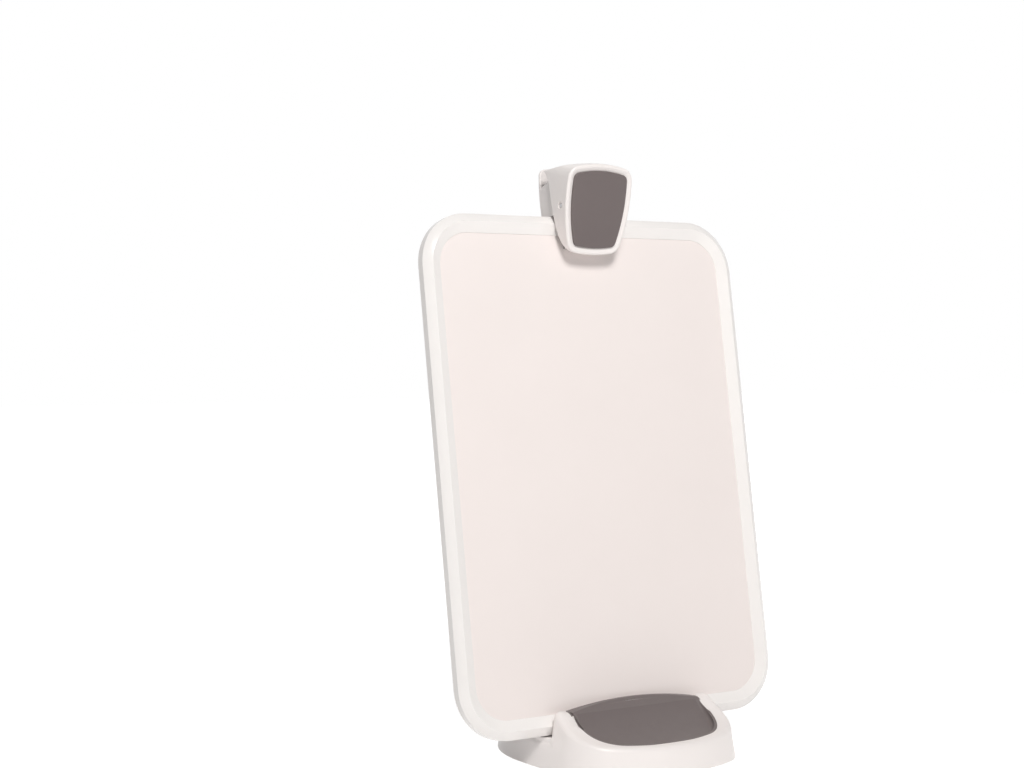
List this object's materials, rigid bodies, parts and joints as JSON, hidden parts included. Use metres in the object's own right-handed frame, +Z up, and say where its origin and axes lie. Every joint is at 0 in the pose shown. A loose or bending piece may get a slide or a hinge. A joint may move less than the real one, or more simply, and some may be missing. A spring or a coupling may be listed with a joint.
{
  "type": "document holder",
  "caption": "Free-standing desk document holder: a framed board leaning back in a slotted base with a scooped tray, and a sprung clip astride the board's top edge.",
  "frame": {"origin": "on the desk, under the middle of the base", "axes": "+Z up, +X along the board's width, the reader sits at -Y"},
  "size_m": [0.238, 0.1554, 0.371],
  "materials": {
    "gloss_white": "glossy moulded plastic, warm white",
    "satin_white": "satin moulded plastic, warm white",
    "panel_grey": "satin pale warm grey plastic",
    "soft_grey": "soft dark warm grey moulding",
    "jaw_rubber": "soft grey rubber",
    "foot_rubber": "black rubber",
    "steel": "plain bright steel"
  },
  "bodies": {
    "base": {"base_shell": "satin_white", "base_bottom_plate": "satin_white", "base_screws": "steel", "rubber_foot_front_left": "foot_rubber", "rubber_foot_front_right": "foot_rubber", "rubber_foot_rear_left": "foot_rubber", "rubber_foot_rear_right": "foot_rubber", "tray_inlay": "soft_grey", "slot_pad_left": "jaw_rubber", "slot_pad_right": "jaw_rubber"},
    "board": {"rim_frame": "gloss_white", "back_panel": "panel_grey"},
    "clip": {"clip_rear_jaw": "satin_white", "clip_pivot_pin": "steel", "clip_torsion_spring": "steel", "clip_rear_jaw_pad": "jaw_rubber"},
    "lever": {"clip_front_lever": "satin_white", "clip_grip_pad": "soft_grey", "clip_front_jaw_pad": "jaw_rubber"}
  },
  "joints": [
    {"name": "board_lift", "type": "slide", "parent": "base", "child": "board", "axis": [0, 0.1616, 0.9869], "range_m": [0, 0.06]},
    {"name": "clip_slide", "type": "slide", "parent": "board", "child": "clip", "axis": [1, 0, 0], "range_m": [-0.07, 0.07]},
    {"name": "clip_lever", "type": "hinge", "parent": "clip", "child": "lever", "pos_m": [0, 0.01627, 0.34422], "axis": [-1, 0, 0], "range_deg": [0, 20], "stiffness_Nm_per_rad": 0.15, "springref_deg": -34.38, "deforming": ["clip_torsion_spring"]}
  ]
}
